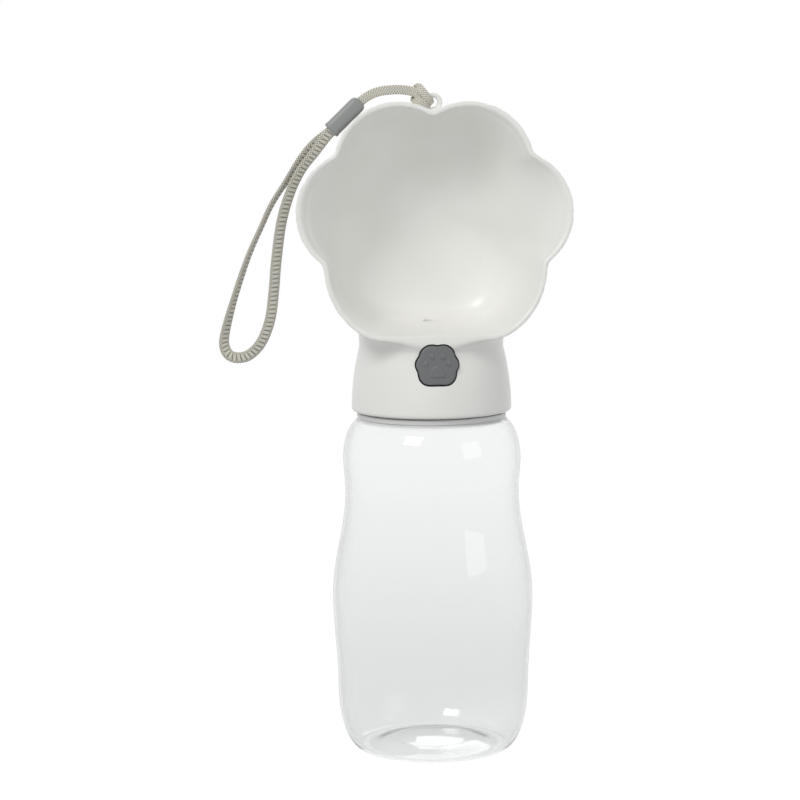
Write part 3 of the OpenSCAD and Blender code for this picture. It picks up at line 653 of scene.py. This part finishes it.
# %% Bowl field
collar_r0, collar_draw, collar_h, collar_wall = 29.7 * mm, 3 * mm, 24 * mm, 1.8 * mm
collar_z = bead_z + 0.5 * mm
shoulder_top = collar_z + collar_h
crown_h = 20 * mm
rim_z, rim_v, rim_lean = shoulder_top + 4.1 * mm, 44 * mm, radians(7)
rim_front = collar_r0 - collar_draw + 1.3 * mm
bowl_depth, bowl_wall, lobe_depth, well_r, floor_lean = 42 * mm, 2 * mm, 9 * mm, 38.5 * mm, 0.15
rim_groove, groove_w, groove_in = 0.22 * mm, 0.9 * mm, 2.6 * mm
soft_onset = 0.28
bowl_lobes = [(side * u * mm, v * mm, r * mm) for side in (-1, 1)
              for u, v, r in ((13.2, 63.6, 23.3), (28.6, 46.6, 22.2), (12, 26.6, 28.6))]
turn = np.linspace(-pi, pi, 1441)


def paw_radius(angle, lobes, middle, soft):
    """Radius of a paw's outline about its middle, with a flat lower edge at v = 0."""
    total = 0
    for u, v, r in lobes:
        along = u * np.cos(angle) + (v - middle) * np.sin(angle)
        across = (v - middle) * np.cos(angle) - u * np.sin(angle)
        reach = np.where(np.abs(across) < r, along + np.sqrt(np.maximum(r * r - across ** 2, 0)), 0)
        total = total + np.exp(reach / soft)
    radius = soft * np.log(total)
    down = np.minimum(np.sin(angle), -0.2)
    flat = -soft * np.log(np.exp(-radius / soft) + np.exp(middle / down / soft))
    return np.where(np.sin(angle) > -0.2, radius, flat)


rim_radius = paw_radius(turn, bowl_lobes, rim_v, 1 * mm) - bowl_wall


def rim_depth(y, z):
    """Height along the leaning rim, and depth behind its plane."""
    v = (z - rim_z) / cos(rim_lean)
    deep = y + rim_front - v * sin(rim_lean)
    return v, deep / (1 - floor_lean * (v - rim_v) / bowl_depth)


def bowl(x, y, z, grow):
    """The solid under one skin of the bowl: grow is 0 inside and the wall's thickness outside."""
    v, w = rim_depth(y, z)
    angle, r = np.arctan2(v - rim_v, x), np.hypot(x, v - rim_v)
    rim = np.interp(angle, turn, rim_radius)
    lower = ((np.sqrt(np.sin(angle) ** 2 + soft_onset ** 2) - np.sin(angle)) / 2) ** 2
    well = well_r * (1 - lower) + (rim - 1 * mm) * lower
    edge = well + (rim - well) * np.exp(-np.maximum(w, -3 * mm) / lobe_depth) + grow
    if grow == 0:
        edge = edge + rim_groove * np.exp(-((w - groove_in) / groove_w) ** 2)
    power = 2 + 8 * lower
    deep = np.maximum(w, 0) / (bowl_depth + grow)
    return edge * ((np.maximum(r / edge, 1e-6) ** power + deep ** power) ** (1 / power) - 1)


# %% [markdown]
# ## The head moulding
# The collar is a bowed skirt under a dome, and the bowl melts into it with a wide fillet, as the
# photograph shows in front. The wall is what is left when the bowl's inside and the collar's
# inside are cut away. Inside the collar stand the button's guide, four bosses for the inner cap
# and the socket of the water outlet. The strap eye grows out of the notch between the upper toes.

# %% Head field
outlet_y, outlet_d, valve_z = 12.5 * mm, 3.6 * mm, collar_z + 19.5 * mm
deck_top = neck_top + 1.6 * mm + 1.6 * mm
socket_z, socket_d, socket_h = valve_z + 5.6 * mm, 9.5 * mm, 3.4 * mm
button_gap, guide_wall, guide_back = 0.55 * mm, 1.2 * mm, 21 * mm
button_w = 15.2 * mm
paw_h = button_w * 0.95
button_lobes = [(side * u * button_w, v * paw_h, r) for side in (-1, 1)
                for u, v, r in ((0.131, 0.709, paw_h * 0.291), (0.274, 0.513, button_w * 0.226),
                                (0.155, 0.291, paw_h * 0.297))] + [(0, 0.32 * paw_h, 0.32 * paw_h)]
button_radius = paw_radius(turn, button_lobes, paw_h / 2, 0.3 * mm)
boss_x, boss_y, boss_r, boss_wall = 15.5 * mm, 9 * mm, 3 * mm, 1.5 * mm
eye_y, eye_z, eye_d, eye_band, eye_t = -12 * mm, 241.5 * mm, 3.6 * mm, 1.8 * mm, 2.6 * mm
rim_edge, foot_edge, join = 0.9 * mm, 1.4 * mm, 9 * mm
crisp = 0.2 * mm


def collar(x, y, z, inset):
    """The solid under the collar's side and its dome."""
    r = np.hypot(x, y)
    side = r - (collar_r0 - inset - collar_draw * ((z - collar_z) / collar_h) ** 2)
    crown_r = collar_r0 - collar_draw - inset
    over = np.maximum(z - shoulder_top, 0) / (crown_h - inset)
    dome = crown_r * (np.sqrt((r / crown_r) ** 2 + over ** 2) - 1)
    return np.where(z < shoulder_top, side, dome)


def paw_prism(x, z, grow):
    """The button's outline, run through along Y."""
    up = z - valve_z
    return np.hypot(x, up) - np.interp(np.arctan2(up, x), turn, button_radius) - grow


def post(x, y, at, radius):
    return np.hypot(x - at[0], y - at[1]) - radius


def strap_eye(x, y, z):
    ring = np.abs(np.hypot(x, z - eye_z) - (eye_d + eye_band) / 2) - eye_band / 2
    foot = trim(np.abs(x) - 2.6 * mm, np.abs(z - eye_z + 4.3 * mm) - 1.6 * mm, 0.8 * mm)
    foot = trim(foot, eye_d / 2 + 0.2 * mm - np.hypot(x, z - eye_z), 0.4 * mm)
    return trim(melt(ring, foot, 0.8 * mm), np.abs(y - eye_y) - eye_t / 2, 0.8 * mm)


def head(x, y, z):
    outside, inside = bowl(x, y, z, bowl_wall), bowl(x, y, z, 0)
    w = rim_depth(y, z)[1]
    skirt = trim(collar(x, y, z, 0), collar_z - z, foot_edge)
    solid = trim(melt(outside, skirt, join), -w, rim_edge)
    solid = melt(solid, strap_eye(x, y, z), 0.7 * mm)
    room = trim(collar(x, y, z, collar_wall), -outside, 1 * mm)
    wall = trim(solid, -room, 0.4 * mm)
    guide = trim(paw_prism(x, z, button_gap + guide_wall), y + guide_back, crisp)
    guide = trim(trim(guide, collar(x, y, z, collar_wall / 2), crisp), deck_top + 0.1 * mm - z, crisp)
    for px in (-boss_x, boss_x):
        for py in (-boss_y, boss_y):
            guide = np.minimum(guide, trim(post(x, y, (px, py), boss_r), deck_top - z, crisp))
    socket_post = post(x, y, (0, outlet_y), socket_d / 2 + boss_wall)
    guide = np.minimum(guide, trim(socket_post, socket_z - z, crisp))
    guide = trim(guide, z - rim_z - 8 * mm, crisp)
    wall = melt(wall, guide, 0.5 * mm)
    wall = trim(wall, -inside, 0.6 * mm)
    hole = trim(post(x, y, (0, outlet_y), outlet_d / 2), np.abs(z - rim_z) - 8 * mm, crisp)
    socket = trim(post(x, y, (0, outlet_y), socket_d / 2), z - socket_z - socket_h, crisp)
    for cut in (hole, trim(socket, socket_z - 2 * mm - z, crisp)):
        wall = trim(wall, -cut, 0.3 * mm)
    return wall


# %% Head moulding
coarse = 1
low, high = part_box("head_shell")
head_shell = cast("head_shell_moulding", head, low, high, 0.6 * mm * coarse, body="head", slot="white_shell")
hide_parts("head_shell")


def cut_out(target, name, points, faces):
    """Cut a closed shape out of a piece with a Boolean, and apply it."""
    cutter = piece(name, points, faces, smooth=False)
    tool = target.modifiers.new("cut", "BOOLEAN")
    tool.object, tool.operation, tool.solver = cutter, "DIFFERENCE", "EXACT"
    done = bpy.data.meshes.new_from_object(target.evaluated_get(bpy.context.evaluated_depsgraph_get()))
    target.modifiers.clear()
    target.data = done
    bpy.data.objects.remove(cutter)


def paw_block(grow, front, back):
    """A prism with the button's outline between two distances in front of the axis."""
    angle = turn[:-1:10]
    radius = button_radius[:-1:10] + grow
    ring = [(r * cos(a), valve_z + r * sin(a)) for a, r in zip(angle, radius)]
    points = [(x, y, z) for y in (-front, -back) for x, z in ring]
    return points, skin(2, len(ring))


cut_out(head_shell, "window", *paw_block(button_gap, 34 * mm, 20 * mm))
head_shell.data.materials.clear()
head_shell.data.materials.append(white_shell)
head_shell.data.shade_smooth()
head_shell.data.set_sharp_from_angle(angle=radians(38))

# %% [markdown]
# ## The button
# A firm cap in the outline of a small paw, with a common paw print raised on its face: four toes
# and a pad. It sits in its window with an even gap. Behind the face are two lugs that keep it in,
# and the pocket of the return spring. It is cast from a field on a finer grid. A thin dark sheet of
# painted shade lies in the gap round it, so that the gap looks black.

# %% Button
button_face, figure_h = 28.62 * mm, 0.35 * mm
flange_t, lug_h, seat_gap = 1.5 * mm, 5 * mm, 0.05 * mm
pocket_back, pocket_d, stem_d = 24 * mm, 8.3 * mm, 3 * mm
toes = [(side * u * mm, v * mm, w * mm, h * mm) for side in (-1, 1)
        for u, v, w, h in ((1.92, 3.2, 0.85, 1), (4.1, 0.65, 0.8, 0.9))]


def paw_print(x, up):
    """Distance to the raised print, negative on it."""
    slope = np.array([0.83, 0.56])
    pad = slope[0] * np.abs(x) + slope[1] * up - 0.7 * mm
    for side in (up + 0.25 * mm, -up - 4.3 * mm, np.abs(x) - 2.85 * mm):
        pad = trim(pad, side, 0.9 * mm)
    for u, v, w, h in toes:
        pad = np.minimum(pad, w * (np.hypot((x - u) / w, (up - v) / h) - 1))
    return pad


def button(x, y, z):
    raised = figure_h * np.clip(0.5 - paw_print(x, z - valve_z) / (0.3 * mm), 0, 1)
    front = (-y - button_face - raised) * 0.8
    cap = trim(trim(paw_prism(x, z, 0), front, 0.6 * mm), y + guide_back - seat_gap, 0.2 * mm)
    side = np.abs(x) - button_w / 2 - button_gap - guide_wall
    lugs = trim(trim(side, np.abs(z - valve_z) - lug_h / 2, 0.2 * mm),
                np.abs(y + guide_back - seat_gap - flange_t / 2) - flange_t / 2, 0.2 * mm)
    pocket = trim(np.hypot(x, z - valve_z) - pocket_d / 2, -y - pocket_back, 0.2 * mm)
    socket = trim(np.hypot(x, z - valve_z) - stem_d / 2 - seat_gap, -y - pocket_back - 2.2 * mm, 0.1 * mm)
    return trim(trim(np.minimum(cap, lugs), -pocket, 0.2 * mm), -socket, 0.1 * mm)


low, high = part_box("button_cap")
button_cap = cast("button_cap_moulding", button, low, high, 0.2 * mm * coarse, body="plunger", slot="grey_button")
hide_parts("button_cap")
button_cap.data.materials.append(grey_button)

# %% Button gap shade
def outline(grow, y):
    """The button's outline at a distance y in front of the axis."""
    around, radius = turn[:-1:4], button_radius[:-1:4] + grow
    return np.stack([radius * np.cos(around), 0 * around - y, valve_z + radius * np.sin(around)], 1)


# Painted shade: a thin dark sheet in the gap round the button stands in for the shadow in the gap.
painted_gap_shade = moulded("dark rubber", (20, 18, 16), (24, 22, 20), 0.7)
shade_front, shade_back, shade_in, shade_out = 26.1 * mm, 24.6 * mm, 0.06 * mm, button_gap - 0.05 * mm
shade_rows = [outline(shade_in, shade_front), outline(shade_out, shade_front),
             outline(shade_out, shade_back), outline(shade_in, shade_back)]
button_seal = piece("button_seal", np.vstack(shade_rows), skin(4, len(shade_rows[0]), closed=True),
                    "head", "silicone", smooth=False)
button_seal.data.materials.append(painted_gap_shade)

# %% [markdown]
# ## The sleeve
# Two grey shells clamp the strap's ends together. The nose is round, the tail is cut square with
# a softened edge, and a fine parting line runs between them. Each half is cast in the sleeve's own
# directions: along it, across it and out of the picture.

# %% Sleeve halves
sleeve_tip, sleeve_lean = np.array([-25.9, -14, 242.3]) * mm, radians(44)
sleeve_l, sleeve_w = 15.5 * mm, 6 * mm
sleeve_along = np.array([cos(sleeve_lean), 0, sin(sleeve_lean)])
sleeve_across = np.array([-sin(sleeve_lean), 0, cos(sleeve_lean)])


def sleeve(front):
    side = -1 if front else 1

    def field(x, y, z):
        dx, dy, dz = x - sleeve_tip[0], y - sleeve_tip[1], z - sleeve_tip[2]
        s, c = dx * sleeve_along[0] + dz * sleeve_along[2], dx * sleeve_across[0] + dz * sleeve_across[2]
        nose = sleeve_w / 2
        radial = (np.abs(c) ** 3.4 + np.abs(dy) ** 3.4) ** (1 / 3.4)
        body = (radial ** 2.6 + np.maximum(s + nose, 0) ** 2.6) ** (1 / 2.6) - nose
        lip = trim(radial - nose - 0.12 * mm, np.abs(s + sleeve_l - 0.7 * mm) - 0.5 * mm, crisp)
        body = melt(body, lip, crisp)
        body = trim(body, -s - sleeve_l, 0.5 * mm)
        body = trim(body, 0.04 * mm - side * dy, 0.12 * mm)
        slot = trim(trim(np.abs(c) - 2.3 * mm, np.abs(dy) - 1.9 * mm, 0.3 * mm), s + 2 * mm, 0.3 * mm)
        mouth = trim(np.abs(c) - 2 * mm, np.abs(dy) - 1.4 * mm, 0.3 * mm)
        return trim(trim(body, -slot, 0.25 * mm), -mouth, 0.25 * mm)

    return field


for front, node in ((True, "sleeve_front_half"), (False, "sleeve_back_half")):
    low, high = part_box(node)
    half = cast(node + "_shell", sleeve(front), low, high, 0.2 * mm * coarse, body="head", slot="grey_sleeve")
    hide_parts(node)
    half.data.materials.append(grey_sleeve)

# %% [markdown]
# ## The valve's own parts
# These sit inside the collar and keep their CAD shapes: turned, moulded and stamped parts with
# true bores. They only need their materials. The spring is wound anew as a smooth round wire.
# The inner cap gets the thread that grips the bottle's neck.

# %% Materials of the CAD parts
for node, finish in {"inner_cap": white_inner, "rear_plug": white_inner, "valve_stem": stem_plastic,
                     "seal_retainer": stem_plastic, "neck_gasket": silicone, "plug_o_ring": silicone,
                     "outlet_grommet": silicone, "stem_seal": silicone, "valve_seal_disc": silicone,
                     "rear_plug_o_ring": silicone, "spring_seat_washer": steel}.items():
    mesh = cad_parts[node].data
    mesh.materials.clear()
    mesh.materials.append(finish)
print("finishes on the CAD nodes that stay")

# %% Return spring
spring_d, spring_wire, spring_turns, end_pitch = 6.4 * mm, 0.7 * mm, 6, 1.155 * mm
low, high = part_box("return_spring")
spring_from, spring_to = low[1] + spring_wire / 2, high[1] - spring_wire / 2
laps = np.linspace(0, spring_turns + 2, (spring_turns + 2) * 32)
work = (spring_to - spring_from - 2 * end_pitch) / spring_turns
spring_y = spring_from + np.interp(laps, [0, 1, spring_turns + 1, spring_turns + 2],
                                   [0, end_pitch, end_pitch + work * spring_turns, spring_to - spring_from])
coil = np.stack([spring_d / 2 * np.cos(laps * 2 * pi), spring_y,
                 valve_z + spring_d / 2 * np.sin(laps * 2 * pi)], 1)
along = unit(np.gradient(coil, axis=0))
outward = unit(coil - np.stack([0 * laps, spring_y, 0 * laps + valve_z], 1))
side = np.cross(along, outward)
angle = np.arange(16)[:, None] * 2 * pi / 16
wire = coil[:, None] + spring_wire / 2 * (outward[:, None] * np.cos(angle) + side[:, None] * np.sin(angle))
spring = piece("return_spring_coil", wire.reshape(-1, 3), skin(len(coil), 16), "head", "steel")
spring.data.materials.append(steel)
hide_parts("return_spring")
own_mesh(spring)

# %% Thread in the inner cap
female_r = neck_r + thread_h + 0.3 * mm
female_h = female_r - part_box("neck_gasket")[1][0] - 0.1 * mm
root_in, root_half, crest_half = 0.25 * mm, 1.1 * mm, 0.45 * mm
laps = np.linspace(0, thread_turns, 110)
female = []
for gone in laps:
    taper = min(1, gone * thread_run_in + 0.02, (thread_turns - gone) * thread_run_in + 0.02)
    a, z = 2 * pi * gone, thread_from + thread_pitch * (gone + 0.5)
    for out, rise in ((root_in, -root_half), (-female_h * taper, -crest_half),
                      (-female_h * taper, crest_half), (root_in, root_half)):
        r = female_r + out
        female.append((r * cos(a), r * sin(a), z + rise * (0.4 + 0.6 * taper)))
cap_thread = piece("inner_cap_thread", female, [f[::-1] for f in skin(len(laps), 4)],
                   "head", "white_inner", smooth=False)
cap_thread.data.materials.append(white_inner)

# %% [markdown]
# ## Floor, background and light
# The photograph has a pure white ground. The floor and the world are white to the camera, to
# reflections and to what is seen through the clear bottle, while the light that reaches the object
# stays plain. The floor still darkens a little where the bottle stands on it.

# %% Stage
def showing(f):
    """1 for a ray that shows the background: from the camera, off a gloss or through the bottle."""
    path = f.node("ShaderNodeLightPath").socket.node.outputs
    seen, glossy, through = (Wire(f, path[n]) for n in ("Is Camera Ray", "Is Glossy Ray", "Is Transmission Ray"))
    return seen.maths("MAXIMUM", seen, seen.maths("MAXIMUM", glossy, through))


def floor_finish():
    f = Finish("white ground")
    ground = f.node("ShaderNodeBsdfDiffuse", {}, {"Color": (0.305, 0.305, 0.305, 1)})
    plain = f.node("ShaderNodeBsdfDiffuse", {}, {"Color": (0.6, 0.6, 0.6, 1)})
    glow = f.node("ShaderNodeEmission", {}, {"Color": (1, 1, 1, 1), "Strength": 0.81})
    near = f.node("ShaderNodeAddShader", {}, {0: ground, 1: glow})
    bright = f.node("ShaderNodeEmission", {}, {"Color": (1, 1, 1, 1), "Strength": 1.0})
    away = f.node("ShaderNodeVectorMath", {"operation": "LENGTH"}, {0: f.place()}, out="Value")
    white = f.node("ShaderNodeMixShader", {}, {0: away.ramp(0.25, 0.6), 1: near, 2: bright})
    return f.show(f.node("ShaderNodeMixShader", {}, {0: showing(f), 1: plain, 2: white}))


ground_r = 2.6
floor = piece("floor", [(x * ground_r, y * ground_r, 0) for x, y in ((-1, -1), (1, -1), (1, 1), (-1, 1))],
              [(0, 1, 2, 3)], smooth=False)
floor.data.materials.append(floor_finish())

# %% World
studio = bpy.data.worlds.new("studio")
bpy.context.scene.world = studio
sky = Finish("studio", studio)
soft = sky.node("ShaderNodeBackground", {}, {"Color": (0.98, 0.99, 1, 1), "Strength": 0.48})
white = sky.node("ShaderNodeBackground", {}, {"Color": (1, 1, 1, 1), "Strength": 1.0})
sky.show(sky.node("ShaderNodeMixShader", {}, {0: showing(sky), 1: soft, 2: white}))


# %% Lamps
def lamp(name, place, aim, size, watts, colour=(1, 1, 1)):
    """A soft box: a square area lamp that looks at a point."""
    data = bpy.data.lights.new(name, "AREA")
    data.size, data.energy, data.color = size, watts, colour
    made = bpy.data.objects.new(name, data)
    made.location = place
    made.rotation_euler = (Vector(aim) - Vector(place)).to_track_quat("-Z", "Y").to_euler()
    bpy.context.scene.collection.objects.link(made)


middle = (0, 0, 150 * mm)
lamp("key soft box", (-0.62, -0.9, 1.05), middle, 0.5, 7.2, (1, 0.99, 0.97))
lamp("fill soft box", (0.95, -0.8, 0.5), middle, 0.6, 0.9)
lamp("back soft box", (0.3, 1.0, 0.8), middle, 0.7, 3.0)

# %% [markdown]
# ## Finish
# The colours should come out as written, so the view transform is the standard one.

# %% Colour management
bpy.context.scene.view_settings.view_transform = "Standard"
